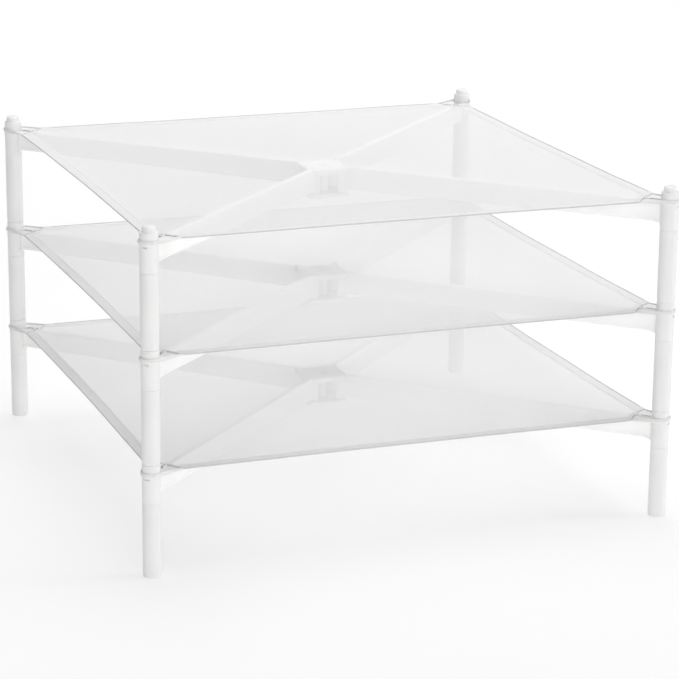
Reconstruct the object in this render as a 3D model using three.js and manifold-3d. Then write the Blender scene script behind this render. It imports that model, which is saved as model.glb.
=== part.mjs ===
// A stackable drying rack: three identical square tiers, each a folding cross of four arms
// on a small hub, four corner posts on short legs, and a mesh sheet looped over the posts.
// Millimetres, +Z up. The origin is on the floor under the middle of the rack.
import * as THREE from "three";
import { mergeVertices } from "three/addons/utils/BufferGeometryUtils.js";
import Module from "manifold-3d";

// Driving dimensions. A level is a height above the feet of its own tier.
const TIER_COUNT = 3;
const POST_SPACING = 650;
const TIER_PITCH = 137;
const SHEET_LEVEL = 126;
const GAP = 0.3;

// Posts: a leg tube below, and the moulded head of the arm above it.
const POST_DIAMETER = 22;
const POST_SIDES = 16;
const LEG_LENGTH = 90;
const LEG_BORE_DIAMETER = 16.8;
const STUD_DIAMETER = 16;
const STUD_HEIGHT = 7;
const SPIGOT_LENGTH = 18;
const HEAD_CORE_DIAMETER = 11;
const HEAD_ROOF = 6;
const EDGE_CHAMFER = 0.8;

// Arms: a deep narrow channel, open below, that hangs just under the sheet.
const ARM_WIDTH = 8;
const ARM_TOP_DROP = 1.5;
const ARM_POST_DROP = 26;
const ARM_HUB_DROP = 30;
const ARM_WALL = 1.8;
const ARM_ROOF = 3;
const ARM_CELL_COUNT = 4;
const SADDLE_SIZE = 3;

// Hub: two plates on a central boss, with the arm roots between them on corner pins.
const HUB_SIDE = 54;
const HUB_CORNER_RADIUS = 6;
const HUB_TOP_DROP = 3.5;
const HUB_COVER_THICKNESS = 6.5;
const HUB_WINDOW_HEIGHT = 25;
const HUB_BASE_THICKNESS = 5;
const HUB_BOSS_DIAMETER = 11;
const PIN_INSET = 9;
const PIN_DIAMETER = 5;
const PIN_SOCKET_DEPTH = 2.8;
const KNUCKLE_DIAMETER = 15;
const NOTCH_RADIUS = 12;
const SCREW_HEAD_DIAMETER = 6.4;
const SCREW_HEAD_HEIGHT = 2;
const SCREW_RECESS_DEPTH = 3.6;
const SCREW_DIAMETER = 3;
const SCREW_LENGTH = 20;

// Mesh sheet: a flat panel with slightly hollow sides, and a strap loop at each corner.
const SHEET_THICKNESS = 1.2;
const SHEET_CORNER_INSET = 2;
const SHEET_SIDE_INSET = 5;
const SHEET_CORNER_CUT = 36;
const LOOP_THICKNESS = 1.2;
const LOOP_HEIGHT = 4.5;
const LOOP_REACH = 26;
const LOOP_SPREAD = 22;

const ROUND_SIDES = 12;
const CURVE_SEGMENTS = 4;
const CUT_OVERSHOOT = 1;

// Sizes that follow from those above.
const PIN_OFFSET = HUB_SIDE / 2 - PIN_INSET;
const ARM_LENGTH = Math.SQRT2 * (POST_SPACING / 2 - PIN_OFFSET);
const SEAT_LEVEL = TIER_PITCH - GAP;
const COVER_TOP = SHEET_LEVEL - HUB_TOP_DROP;
const COVER_BOTTOM = COVER_TOP - HUB_COVER_THICKNESS;
const BASE_TOP = COVER_BOTTOM - HUB_WINDOW_HEIGHT;
const BASE_BOTTOM = BASE_TOP - HUB_BASE_THICKNESS;
const PIN_HOLE_DIAMETER = PIN_DIAMETER + 2 * GAP;

// The four corners, and the quarter turns that point an arm from the hub to each of them.
const CORNERS = [
  { name: "back_right", x: 1, y: 1 },
  { name: "back_left", x: -1, y: 1 },
  { name: "front_left", x: -1, y: -1 },
  { name: "front_right", x: 1, y: -1 },
];

const wasm = await Module();
wasm.setup();

// A closed geometry as a solid that can be joined and cut.
function solidOf(geometry) {
  const bare = geometry.index ? geometry.toNonIndexed() : geometry.clone();
  bare.deleteAttribute("normal");
  bare.deleteAttribute("uv");
  const merged = mergeVertices(bare, 1e-4);
  const mesh = new wasm.Mesh({
    numProp: 3,
    vertProperties: merged.getAttribute("position").array,
    triVerts: new Uint32Array(merged.index.array),
  });
  return new wasm.Manifold(mesh);
}

// The surface of a solid as a geometry with flat faces.
function geometryOf(solid) {
  const mesh = solid.getMesh();
  const geometry = new THREE.BufferGeometry();
  geometry.setAttribute("position", new THREE.BufferAttribute(mesh.vertProperties, 3));
  geometry.setIndex(new THREE.BufferAttribute(mesh.triVerts, 1));
  const flat = geometry.toNonIndexed();
  flat.computeVertexNormals();
  return flat;
}

// A profile of [radius, height] points turned about the Z axis.
function turned(profile, sides) {
  const points = profile.map(([radius, height]) => new THREE.Vector2(radius, height));
  return new THREE.LatheGeometry(points, sides).rotateX(Math.PI / 2);
}

// A plain rod on the Z axis between two heights.
function rod(diameter, bottom, top, sides = ROUND_SIDES) {
  const geometry = new THREE.CylinderGeometry(diameter / 2, diameter / 2, top - bottom, sides);
  return geometry.rotateX(Math.PI / 2).translate(0, 0, (bottom + top) / 2);
}

// An outline in the XY plane raised from one height to another.
function raised(outline, bottom, top) {
  const options = { depth: top - bottom, bevelEnabled: false, curveSegments: CURVE_SEGMENTS };
  return new THREE.ExtrudeGeometry(outline, options).translate(0, 0, bottom);
}

function leg() {
  const outer = POST_DIAMETER / 2;
  const bore = LEG_BORE_DIAMETER / 2;
  const top = LEG_LENGTH - GAP;
  const profile = [
    [bore, 0],
    [outer - EDGE_CHAMFER, 0],
    [outer, EDGE_CHAMFER],
    [outer, top],
    [bore, top],
    [bore, 0],
  ];
  return turned(profile, POST_SIDES);
}

// The post head: a spigot for the leg, a collar, the seat for the next tier and its stud.
function postHead() {
  const core = HEAD_CORE_DIAMETER / 2;
  const spigot = LEG_BORE_DIAMETER / 2 - GAP;
  const collar = POST_DIAMETER / 2;
  const stud = STUD_DIAMETER / 2;
  const studTop = SEAT_LEVEL + STUD_HEIGHT;
  const profile = [
    [0, SEAT_LEVEL - HEAD_ROOF],
    [core, SEAT_LEVEL - HEAD_ROOF],
    [core, LEG_LENGTH - SPIGOT_LENGTH],
    [spigot, LEG_LENGTH - SPIGOT_LENGTH],
    [spigot, LEG_LENGTH],
    [collar, LEG_LENGTH],
    [collar, SEAT_LEVEL - EDGE_CHAMFER],
    [collar - EDGE_CHAMFER, SEAT_LEVEL],
    [stud, SEAT_LEVEL],
    [stud, studTop - 2 * EDGE_CHAMFER],
    [stud - 2 * EDGE_CHAMFER, studTop],
    [0, studTop],
  ];
  return turned(profile, POST_SIDES);
}

// The side of the arm, drawn from the pin at x = 0 to the post, with y for height.
function armSide() {
  const top = SHEET_LEVEL - ARM_TOP_DROP;
  const postEnd = ARM_LENGTH - (POST_DIAMETER + HEAD_CORE_DIAMETER) / 4;
  const postFace = ARM_LENGTH - POST_DIAMETER / 2;
  const postBottom = SHEET_LEVEL - ARM_POST_DROP;
  const hubBottom = SHEET_LEVEL - ARM_HUB_DROP;
  const side = new THREE.Shape();
  side.moveTo(0, hubBottom);
  side.lineTo(NOTCH_RADIUS, hubBottom);
  side.lineTo(postFace - SADDLE_SIZE, postBottom);
  side.quadraticCurveTo(postFace, postBottom, postFace, postBottom - SADDLE_SIZE);
  side.lineTo(postEnd, postBottom - SADDLE_SIZE);
  side.lineTo(postEnd, top);
  side.lineTo(NOTCH_RADIUS, top);
  side.lineTo(NOTCH_RADIUS, COVER_BOTTOM - GAP);
  side.lineTo(0, COVER_BOTTOM - GAP);
  side.closePath();
  return side;
}

// One arm with its post head. The pin is on the Z axis and the post is out along +X.
function arm() {
  const options = { depth: ARM_WIDTH, bevelEnabled: false, curveSegments: CURVE_SEGMENTS };
  const beam = new THREE.ExtrudeGeometry(armSide(), options);
  beam.rotateX(Math.PI / 2).translate(0, ARM_WIDTH / 2, 0);
  const knuckle = rod(KNUCKLE_DIAMETER, BASE_TOP + GAP, COVER_BOTTOM - GAP);
  const head = postHead().translate(ARM_LENGTH, 0, 0);
  let solid = solidOf(beam).add(solidOf(knuckle)).add(solidOf(head));

  const channelStart = NOTCH_RADIUS + ARM_WALL;
  const channelEnd = ARM_LENGTH - POST_DIAMETER / 2 - SADDLE_SIZE;
  const cellPitch = (channelEnd - channelStart + ARM_WALL) / ARM_CELL_COUNT;
  const cellTop = SHEET_LEVEL - ARM_TOP_DROP - ARM_ROOF;
  const cellWidth = ARM_WIDTH - 2 * ARM_WALL;
  for (let cell = 0; cell < ARM_CELL_COUNT; cell += 1) {
    const cutter = new THREE.BoxGeometry(cellPitch - ARM_WALL, cellWidth, cellTop);
    const middle = channelStart + (cellPitch - ARM_WALL) / 2 + cell * cellPitch;
    cutter.translate(middle, 0, cellTop / 2);
    solid = solid.subtract(solidOf(cutter));
  }
  return geometryOf(solid.subtract(solidOf(rod(PIN_HOLE_DIAMETER, 0, SHEET_LEVEL))));
}

function hubOutline() {
  const half = HUB_SIDE / 2;
  const flat = half - HUB_CORNER_RADIUS;
  const outline = new THREE.Shape();
  outline.absarc(flat, flat, HUB_CORNER_RADIUS, 0, Math.PI / 2);
  outline.absarc(-flat, flat, HUB_CORNER_RADIUS, Math.PI / 2, Math.PI);
  outline.absarc(-flat, -flat, HUB_CORNER_RADIUS, Math.PI, 1.5 * Math.PI);
  outline.absarc(flat, -flat, HUB_CORNER_RADIUS, 1.5 * Math.PI, 2 * Math.PI);
  outline.closePath();
  return outline;
}

// Cuts the four blind sockets that hold the ends of the pivot pins.
function withPinSockets(solid, bottom, top) {
  let cut = solid;
  for (const corner of CORNERS) {
    const socket = rod(PIN_HOLE_DIAMETER, bottom, top);
    socket.translate(corner.x * PIN_OFFSET, corner.y * PIN_OFFSET, 0);
    cut = cut.subtract(solidOf(socket));
  }
  return cut;
}

function hubCover() {
  const plate = solidOf(raised(hubOutline(), COVER_BOTTOM, COVER_TOP));
  const recessFloor = COVER_TOP - SCREW_RECESS_DEPTH;
  const recess = rod(SCREW_HEAD_DIAMETER + 2 * GAP, recessFloor, COVER_TOP + CUT_OVERSHOOT);
  const hole = rod(SCREW_DIAMETER + 2 * GAP, COVER_BOTTOM - CUT_OVERSHOOT, COVER_TOP);
  const drilled = plate.subtract(solidOf(recess)).subtract(solidOf(hole));
  const socketTop = COVER_BOTTOM + PIN_SOCKET_DEPTH;
  return geometryOf(withPinSockets(drilled, COVER_BOTTOM - CUT_OVERSHOOT, socketTop));
}

function hubBase() {
  const plate = solidOf(raised(hubOutline(), BASE_BOTTOM, BASE_TOP));
  const boss = solidOf(rod(HUB_BOSS_DIAMETER, BASE_BOTTOM, COVER_BOTTOM - GAP));
  const bore = solidOf(rod(SCREW_DIAMETER + 2 * GAP, BASE_TOP, COVER_TOP));
  const solid = plate.add(boss).subtract(bore);
  const socketBottom = BASE_TOP - PIN_SOCKET_DEPTH;
  return geometryOf(withPinSockets(solid, socketBottom, BASE_TOP + CUT_OVERSHOOT));
}

function hubScrew() {
  const seat = COVER_TOP - SCREW_RECESS_DEPTH + GAP;
  const profile = [
    [0, seat - SCREW_LENGTH],
    [SCREW_DIAMETER / 2, seat - SCREW_LENGTH],
    [SCREW_DIAMETER / 2, seat],
    [SCREW_HEAD_DIAMETER / 2, seat],
    [SCREW_HEAD_DIAMETER / 2, seat + SCREW_HEAD_HEIGHT],
    [0, seat + SCREW_HEAD_HEIGHT],
  ];
  return turned(profile, ROUND_SIDES);
}

function pivotPin() {
  const bottom = BASE_TOP - PIN_SOCKET_DEPTH + GAP;
  const top = COVER_BOTTOM + PIN_SOCKET_DEPTH - GAP;
  return rod(PIN_DIAMETER, bottom, top);
}

// The sheet between the posts: hollow sides, and corners cut across inside the posts.
function meshPanel() {
  const half = POST_SPACING / 2;
  const edge = half - SHEET_CORNER_INSET;
  const hollow = half - 2 * SHEET_SIDE_INSET + SHEET_CORNER_INSET;
  const end = edge - SHEET_CORNER_CUT;
  const outline = new THREE.Shape();
  outline.moveTo(edge, -end);
  outline.quadraticCurveTo(hollow, 0, edge, end);
  outline.lineTo(end, edge);
  outline.quadraticCurveTo(0, hollow, -end, edge);
  outline.lineTo(-edge, end);
  outline.quadraticCurveTo(-hollow, 0, -edge, -end);
  outline.lineTo(-end, -edge);
  outline.quadraticCurveTo(0, -hollow, end, -edge);
  outline.closePath();
  const halfThickness = SHEET_THICKNESS / 2;
  return raised(outline, SHEET_LEVEL - halfThickness, SHEET_LEVEL + halfThickness);
}

// The direction, seen from the post, in which a strap from its end meets a circle round it.
function tangentAngle(radius, spread) {
  const distance = Math.hypot(LOOP_REACH, spread);
  return Math.PI - Math.atan2(spread, LOOP_REACH) - Math.acos(radius / distance);
}

// A strap bent round the outside of the post, with both ends reaching back to the sheet.
function meshLoop() {
  const inner = POST_DIAMETER / 2 + GAP;
  const outer = inner + LOOP_THICKNESS;
  const outerSpread = LOOP_SPREAD + LOOP_THICKNESS;
  const outerTurn = tangentAngle(outer, outerSpread);
  const innerTurn = tangentAngle(inner, LOOP_SPREAD);
  const outline = new THREE.Shape();
  outline.moveTo(-LOOP_REACH, -outerSpread);
  outline.absarc(0, 0, outer, -outerTurn, outerTurn, false);
  outline.lineTo(-LOOP_REACH, outerSpread);
  outline.lineTo(-LOOP_REACH, LOOP_SPREAD);
  outline.absarc(0, 0, inner, innerTurn, -innerTurn, true);
  outline.lineTo(-LOOP_REACH, -LOOP_SPREAD);
  outline.closePath();
  const bottom = SHEET_LEVEL - LOOP_HEIGHT / 2;
  return raised(outline, bottom, bottom + LOOP_HEIGHT).translate(ARM_LENGTH, 0, 0);
}

const white = new THREE.MeshStandardMaterial({ color: 0xf1f1ef, roughness: 0.5, metalness: 0 });
const steel = new THREE.MeshStandardMaterial({ color: 0xb9babc, roughness: 0.35, metalness: 1 });
const net = new THREE.MeshStandardMaterial({ color: 0xf6f6f6, roughness: 0.9, metalness: 0 });

const shapes = {
  arm: arm(),
  leg: leg().translate(ARM_LENGTH, 0, 0),
  pin: pivotPin(),
  cover: hubCover(),
  base: hubBase(),
  screw: hubScrew(),
  panel: meshPanel(),
  loop: meshLoop(),
};

function named(name, geometry, material) {
  const mesh = new THREE.Mesh(geometry, material.clone());
  mesh.name = name;
  return mesh;
}

// What hangs on one pivot pin: the pin itself, the arm, its leg and the loop of the sheet.
function cornerGroup(tier, corner) {
  const group = new THREE.Group();
  group.position.set(corner.x * PIN_OFFSET, corner.y * PIN_OFFSET, 0);
  group.rotation.z = Math.atan2(corner.y, corner.x);
  group.add(named(`${tier}_pivot_pin_${corner.name}`, shapes.pin, steel));
  group.add(named(`${tier}_arm_${corner.name}`, shapes.arm, white));
  group.add(named(`${tier}_leg_${corner.name}`, shapes.leg, white));
  group.add(named(`${tier}_mesh_loop_${corner.name}`, shapes.loop, net));
  return group;
}

const rack = new THREE.Group();
for (let level = 0; level < TIER_COUNT; level += 1) {
  const tier = `tier${level + 1}`;
  const group = new THREE.Group();
  group.position.z = level * TIER_PITCH;
  group.add(named(`${tier}_hub_cover`, shapes.cover, white));
  group.add(named(`${tier}_hub_base`, shapes.base, white));
  group.add(named(`${tier}_hub_screw`, shapes.screw, steel));
  group.add(named(`${tier}_mesh_panel`, shapes.panel, net));
  for (const corner of CORNERS) group.add(cornerGroup(tier, corner));
  rack.add(group);
}

export default rack;
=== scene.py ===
"""Looks for the three-tier mesh drying rack: fine mouldings, net sheets, materials, light and camera.

Everything is in metres in the row frame. A tier's own heights are measured from its sheet level.
"""
import math

import bmesh
import bpy
from mathutils import Matrix, Vector
from mathutils.geometry import delaunay_2d_cdt


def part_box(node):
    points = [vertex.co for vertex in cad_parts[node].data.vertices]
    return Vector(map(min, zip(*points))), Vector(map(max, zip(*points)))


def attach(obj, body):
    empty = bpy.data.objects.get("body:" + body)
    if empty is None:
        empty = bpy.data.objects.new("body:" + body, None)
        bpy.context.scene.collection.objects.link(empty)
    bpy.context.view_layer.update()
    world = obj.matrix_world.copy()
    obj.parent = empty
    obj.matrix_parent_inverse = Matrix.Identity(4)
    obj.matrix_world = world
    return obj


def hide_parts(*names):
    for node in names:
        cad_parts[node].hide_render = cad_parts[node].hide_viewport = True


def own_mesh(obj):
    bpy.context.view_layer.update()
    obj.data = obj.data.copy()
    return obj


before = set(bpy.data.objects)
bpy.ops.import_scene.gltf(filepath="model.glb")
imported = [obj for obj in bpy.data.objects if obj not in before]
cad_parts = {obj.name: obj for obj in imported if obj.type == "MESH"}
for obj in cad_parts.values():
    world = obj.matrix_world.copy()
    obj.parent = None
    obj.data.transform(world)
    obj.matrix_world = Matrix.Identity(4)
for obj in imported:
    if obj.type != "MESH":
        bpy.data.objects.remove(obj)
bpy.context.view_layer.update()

MM = 0.001
TIERS = ("tier1", "tier2", "tier3")
CORNERS = ("front_left", "front_right", "back_right", "back_left")

# Legs and post heads.
POST_RADIUS = 11 * MM
LEG_BORE_RADIUS = 8.4 * MM
SPIGOT_RADIUS = 8.1 * MM
STUD_RADIUS = 8 * MM
CORE_RADIUS = 5.5 * MM
SEAT_GAP = 0.1 * MM
RIM_LINE_HEIGHT = 5 * MM
ROUND_STEPS = 48

# Arms: channels open below, which widen into a saddle at the post.
ARM_WIDTH = 8 * MM
ARM_TOP = -1.5 * MM
ARM_TOP_BEND = 2 * MM
ARM_POST_BOTTOM = -26 * MM
ARM_HUB_BOTTOM = -30 * MM
ARM_WALL = 1.8 * MM
ARM_ROOF = 2.4 * MM
ARM_LIP = 0.7 * MM
ARM_LIP_HEIGHT = 3 * MM
ARM_STATIONS = 40
SADDLE_LENGTH = 12 * MM
SADDLE_WIDTH = 2 * MM
SADDLE_DROP = 2.2 * MM
SADDLE_STATIONS = 14
RIB_COUNT = 7
RIB_HALF_THICKNESS = 0.8 * MM
RIB_RECESS = 2.5 * MM
RIB_CLIMB = 3 * MM
POCKET_LENGTH = 25 * MM
POCKET_WIDTH = 5.6 * MM
POCKET_GAP = 1.5 * MM
POCKET_BEND = 2 * MM
CUT_SPARE = 1 * MM
CATCH_LIP_HALF = 3.6 * MM
CATCH_SLOT_HALF = 3.4 * MM
CATCH_LIP_LOW = -7.9 * MM
CATCH_SLOT_LOW = -6.4 * MM
CATCH_SLOT_HIGH = -4.9 * MM
DIMPLE_DISTANCE = 15 * MM
DIMPLE_DEPTH = 0.7 * MM

# Hub, and the hinge pins between its two plates.
NOTCH = 12 * MM
KNUCKLE_RADIUS = 6.4 * MM
KNUCKLE_STEPS = 36
PIN_HOLE_RADIUS = 2.8 * MM
PIN_HOLE_DEPTH = 2.8 * MM
HOLE_STEPS = 24
HUB_WINDOW_HEIGHT = 25 * MM
HUB_CORNER_RADIUS = 6 * MM
HUB_EDGE = 1 * MM
HUB_EDGE_STEPS = 4
HUB_RING_STEPS = ROUND_STEPS * 2
SCREW_HOLE_RADIUS = 1.8 * MM

# Sheets: outline, hem, net and piping.
SHEET_CORNER_INSET = 2 * MM
SHEET_SIDE_INSET = 5 * MM
SHEET_CORNER_START = 38 * MM
SHEET_CORNER_HOLLOW = 3.5 * MM
SIDE_STEPS = 48
CORNER_STEPS = 10
HEM_WIDTH = 16 * MM
CORNER_HEM_WIDTH = 7.5 * MM
HEM_THICKNESS = 0.9 * MM
PIPING_RADIUS = 0.85 * MM
CORD_SIDES = 8
NET_PITCH = 1.15 * MM
NET_SPACING = 7 * MM
NET_LEVEL = -0.5 * MM
NET_SAG = 0.3 * MM
CREASE_HEIGHT = 0.45 * MM
WAVE_HEIGHT = 0.2 * MM

# Sheets: the slit, gussets and loop at each corner, and the sewing.
SLIT_HALF_WIDTH = 3 * MM
SLIT_LENGTH = 29.5 * MM
SLIT_STEPS = 6
EYELET_RADIUS = 3.3 * MM
EYELET_BEAD = 0.95 * MM
EYELET_STEPS = 20
STRAP_HEIGHT = 4.6 * MM
STRAP_THICKNESS = 1.3 * MM
STRAP_GAP = 0.35 * MM
STRAP_TAIL = 12 * MM
STRAP_ARC_STEPS = 14
STRAP_SIDES = 14
GUSSET_ROUND_STEPS = 7
GUSSET_SIDE_STEPS = 6
GUSSET_ACROSS_STEPS = 6
GUSSET_HALF_THICKNESS = 0.35 * MM
STITCH_LENGTH = 2.8 * MM
STITCH_PITCH = 4.2 * MM
STITCH_RADIUS = 0.28 * MM
STITCH_SIDES = 6

# Stage.
FLOOR_HALF = 12
FLOOR_THICKNESS = 0.01


# ---------------------------------------------------------------- places from the frame

def box_middle(node):
    """The middle of a CAD node's box."""
    low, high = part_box(node)
    return (Vector(low) + Vector(high)) / 2


def foot_height(tier):
    """The height of the foot of a tier's legs."""
    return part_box(f"{tier}_leg_front_left")[0][2]


def sheet_height(tier):
    """The height of a tier's sheet, from which the rest of the tier is measured."""
    return box_middle(f"{tier}_mesh_panel").z


def post_place(tier, corner):
    """Where the axis of a post meets the tier's sheet level."""
    middle = box_middle(f"{tier}_leg_{corner}")
    return Vector((middle.x, middle.y, sheet_height(tier)))


def pin_place(tier, corner):
    """Where the axis of an arm's hinge pin meets the tier's sheet level."""
    middle = box_middle(f"{tier}_pivot_pin_{corner}")
    return Vector((middle.x, middle.y, sheet_height(tier)))


POST = post_place("tier1", "back_right")
ARM_LENGTH = (POST - pin_place("tier1", "back_right")).length
POST_OFFSET = POST.x
SHEET = sheet_height("tier1")
LEG_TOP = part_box("tier1_leg_front_left")[1][2]
HEAD_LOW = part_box("tier1_arm_front_left")[0][2] - SHEET
STUD_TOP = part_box("tier1_arm_front_left")[1][2] - SHEET
SEAT = foot_height("tier2") - SHEET - SEAT_GAP
COLLAR_LOW = LEG_TOP + SEAT_GAP - SHEET
COVER_LOW, COVER_HIGH = (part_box("tier1_hub_cover")[side][2] - SHEET for side in (0, 1))
BASE_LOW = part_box("tier1_hub_base")[0][2] - SHEET
HUB_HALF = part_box("tier1_hub_cover")[1][0]
WINDOW_LOW = COVER_LOW - HUB_WINDOW_HEIGHT
PIN_OFFSET = pin_place("tier1", "back_right").x


# ---------------------------------------------------------------- mesh helpers

def mesh_object(name, vertices, faces, material=None, sharp_angle=40):
    """A new object from vertices and faces, shaded smooth except at edges sharper than an angle."""
    mesh = bpy.data.meshes.new(name)
    mesh.from_pydata([tuple(v) for v in vertices], [], faces)
    work = bmesh.new()
    work.from_mesh(mesh)
    bmesh.ops.recalc_face_normals(work, faces=work.faces)
    work.to_mesh(mesh)
    work.free()
    mesh.shade_smooth()
    mesh.set_sharp_from_angle(angle=math.radians(sharp_angle))
    piece = bpy.data.objects.new(name, mesh)
    bpy.context.scene.collection.objects.link(piece)
    if material:
        mesh.materials.append(material)
    return piece


def rounded(corners, steps=4, closed=False):
    """The (x, y, radius) corners of a line, each turned into a soft bend of about that radius.

    The two ends of an open line stay as they are.
    """
    points = [Vector(c[:2]) for c in corners]
    count = len(points)
    line = []
    for index, corner in enumerate(corners):
        here = points[index]
        ends = not closed and index in (0, count - 1)
        if corner[2] == 0 or ends:
            line.append(here)
            continue
        before = points[index - 1] - here
        after = points[(index + 1) % count] - here
        reach = corner[2] / math.tan(before.angle(after) / 2)
        reach = min(reach, 0.49 * before.length, 0.49 * after.length)
        start = here + before.normalized() * reach
        end = here + after.normalized() * reach
        for step in range(steps + 1):
            t = step / steps
            line.append(start * (1 - t) ** 2 + here * 2 * t * (1 - t) + end * t * t)
    return line


def turned(profile, steps=ROUND_STEPS):
    """Vertices and faces of a closed profile of (radius, height) points turned about the Z axis."""
    on_axis = profile[0][0] == 0
    rows = []
    vertices = []
    for radius, height in profile:
        if radius < 1e-9:
            rows.append([len(vertices)] * steps)
            vertices.append((0, 0, height))
            continue
        rows.append([len(vertices) + step for step in range(steps)])
        for step in range(steps):
            angle = math.tau * step / steps
            vertices.append((radius * math.cos(angle), radius * math.sin(angle), height))
    pairs = list(zip(rows, rows[1:]))
    if not on_axis:
        pairs.append((rows[-1], rows[0]))
    faces = []
    for low, high in pairs:
        for step in range(steps):
            after = (step + 1) % steps
            ring = [low[step], low[after], high[after], high[step]]
            face = [v for index, v in enumerate(ring) if v not in ring[:index]]
            if len(face) > 2:
                faces.append(face)
    return vertices, faces


def lofted(rings, closed_path=False):
    """Vertices and faces through rings of points with the same number of points in each.

    An open path is closed off with a face at each end.
    """
    size = len(rings[0])
    vertices = [point for ring in rings for point in ring]
    faces = []
    spans = len(rings) if closed_path else len(rings) - 1
    for row in range(spans):
        here, there = row * size, ((row + 1) % len(rings)) * size
        for index in range(size):
            after = (index + 1) % size
            faces.append([here + index, here + after, there + after, there + index])
    if not closed_path:
        last = (len(rings) - 1) * size
        faces.append(list(range(size))[::-1])
        faces.append([last + index for index in range(size)])
    return vertices, faces


def merged(*parts):
    """Several (vertices, faces) as one."""
    vertices, faces = [], []
    for part_vertices, part_faces in parts:
        start = len(vertices)
        vertices.extend(part_vertices)
        faces.extend([[start + v for v in face] for face in part_faces])
    return vertices, faces


def moved(part, offset):
    """A (vertices, faces) part, shifted."""
    return [Vector(v) + Vector(offset) for v in part[0]], part[1]


def block(low, high):
    """A plain box between two corners, for cutting and joining."""
    xs, ys, zs = zip(low, high)
    ring = [(xs[0], ys[0]), (xs[1], ys[0]), (xs[1], ys[1]), (xs[0], ys[1])]
    return lofted([[(x, y, z) for x, y in ring] for z in zs])


def combined(base, tool_part, operation):
    """The base object, joined with or cut by another solid, which is used up."""
    tool = mesh_object("tool", *tool_part)
    modifier = base.modifiers.new("combine", "BOOLEAN")
    modifier.operation = operation
    modifier.solver = "EXACT"
    modifier.object = tool
    graph = bpy.context.evaluated_depsgraph_get()
    mesh = bpy.data.meshes.new_from_object(base.evaluated_get(graph))
    base.modifiers.clear()
    base.data = mesh
    bpy.data.objects.remove(tool)
    return base


def finished(base, name, sharp_angle=35):
    """The final mesh of a worked solid; the working object goes."""
    mesh = base.data
    mesh.name = name
    work = bmesh.new()
    work.from_mesh(mesh)
    bmesh.ops.remove_doubles(work, verts=work.verts, dist=1e-6)
    bmesh.ops.dissolve_degenerate(work, edges=work.edges, dist=1e-6)
    bmesh.ops.recalc_face_normals(work, faces=work.faces)
    work.to_mesh(mesh)
    work.free()
    mesh.shade_smooth()
    mesh.set_sharp_from_angle(angle=math.radians(sharp_angle))
    bpy.data.objects.remove(base)
    return mesh


# ---------------------------------------------------------------- materials

class Nodes:
    """A material's node tree with its output and shader, and a short way to add and join nodes."""

    def __init__(self, name):
        self.material = bpy.data.materials.new(name)
        self.material.use_nodes = True
        self.tree = self.material.node_tree
        self.shader = self.tree.nodes["Principled BSDF"]
        self.output = self.tree.nodes["Material Output"]

    def add(self, kind, inputs=None, **settings):
        """A new node, with each input joined to a socket or set to a value."""
        node = self.tree.nodes.new(kind)
        for key, value in settings.items():
            setattr(node, key, value)
        for key, value in (inputs or {}).items():
            if isinstance(value, bpy.types.NodeSocket):
                self.tree.links.new(value, node.inputs[key])
            else:
                node.inputs[key].default_value = value
        return node

    def math(self, operation, first, second=0.0, third=0.0):
        node = self.add("ShaderNodeMath", {0: first, 1: second, 2: third}, operation=operation)
        return node.outputs[0]

    def link(self, source, target):
        self.tree.links.new(source, target)

    def place(self):
        return self.add("ShaderNodeTexCoord").outputs["Object"]

    def noise(self, scale, detail, roughness=0.5):
        inputs = {"Vector": self.place(), "Scale": scale, "Detail": detail, "Roughness": roughness}
        return self.add("ShaderNodeTexNoise", inputs).outputs["Fac"]

    def ramp(self, factor, stops):
        """A colour ramp through (position, colour) stops."""
        node = self.add("ShaderNodeValToRGB", {"Fac": factor})
        elements = node.color_ramp.elements
        while len(elements) < len(stops):
            elements.new(0.5)
        for element, (position, colour) in zip(elements, stops):
            element.position = position
            element.color = (*colour, 1)
        return node.outputs["Color"]

    def spread(self, factor, low, high):
        """A factor of 0 to 1, mapped to low to high."""
        node = self.add("ShaderNodeMapRange", {"Value": factor, "To Min": low, "To Max": high})
        return node.outputs["Result"]

    def bump(self, height, strength, distance, normal=None):
        inputs = {"Height": height, "Strength": strength, "Distance": distance}
        if normal:
            inputs["Normal"] = normal
        return self.add("ShaderNodeBump", inputs).outputs["Normal"]


def moulded_plastic(name, tone, gloss_low, gloss_high, grain, grain_depth):
    """White moulded plastic: faint cloudiness, a fine spark-eroded grain and patches of smoother gloss."""
    nodes = Nodes(name)
    light = tuple(min(1.0, c * 1.012) for c in tone)
    dull = tuple(c * 0.975 for c in tone)
    cloud = nodes.noise(22, 4.0)
    nodes.link(nodes.ramp(cloud, [(0.32, dull), (0.68, light)]), nodes.shader.inputs["Base Color"])
    patch = nodes.noise(70, 5.0, 0.6)
    nodes.link(nodes.spread(patch, gloss_low, gloss_high), nodes.shader.inputs["Roughness"])
    fine = nodes.bump(nodes.noise(grain, 2.0), 0.35, grain_depth)
    flow = nodes.bump(nodes.noise(160, 3.0), 0.2, 0.08 * MM, fine)
    nodes.link(flow, nodes.shader.inputs["Normal"])
    nodes.shader.inputs["IOR"].default_value = 1.49
    nodes.shader.inputs["Subsurface Weight"].default_value = 0.06
    nodes.shader.inputs["Subsurface Scale"].default_value = 1.5 * MM
    nodes.shader.inputs["Subsurface Radius"].default_value = (1.0, 0.9, 0.8)
    return nodes.material


def bright_steel(name):
    """Plated steel with fine scratches."""
    nodes = Nodes(name)
    scratch = nodes.noise(900, 4.0, 0.7)
    nodes.link(nodes.ramp(scratch, [(0.3, (0.52, 0.52, 0.53)), (0.7, (0.66, 0.66, 0.67))]),
               nodes.shader.inputs["Base Color"])
    nodes.link(nodes.spread(scratch, 0.22, 0.42), nodes.shader.inputs["Roughness"])
    nodes.link(nodes.bump(scratch, 0.15, 0.02 * MM), nodes.shader.inputs["Normal"])
    nodes.shader.inputs["Metallic"].default_value = 1.0
    return nodes.material


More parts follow.
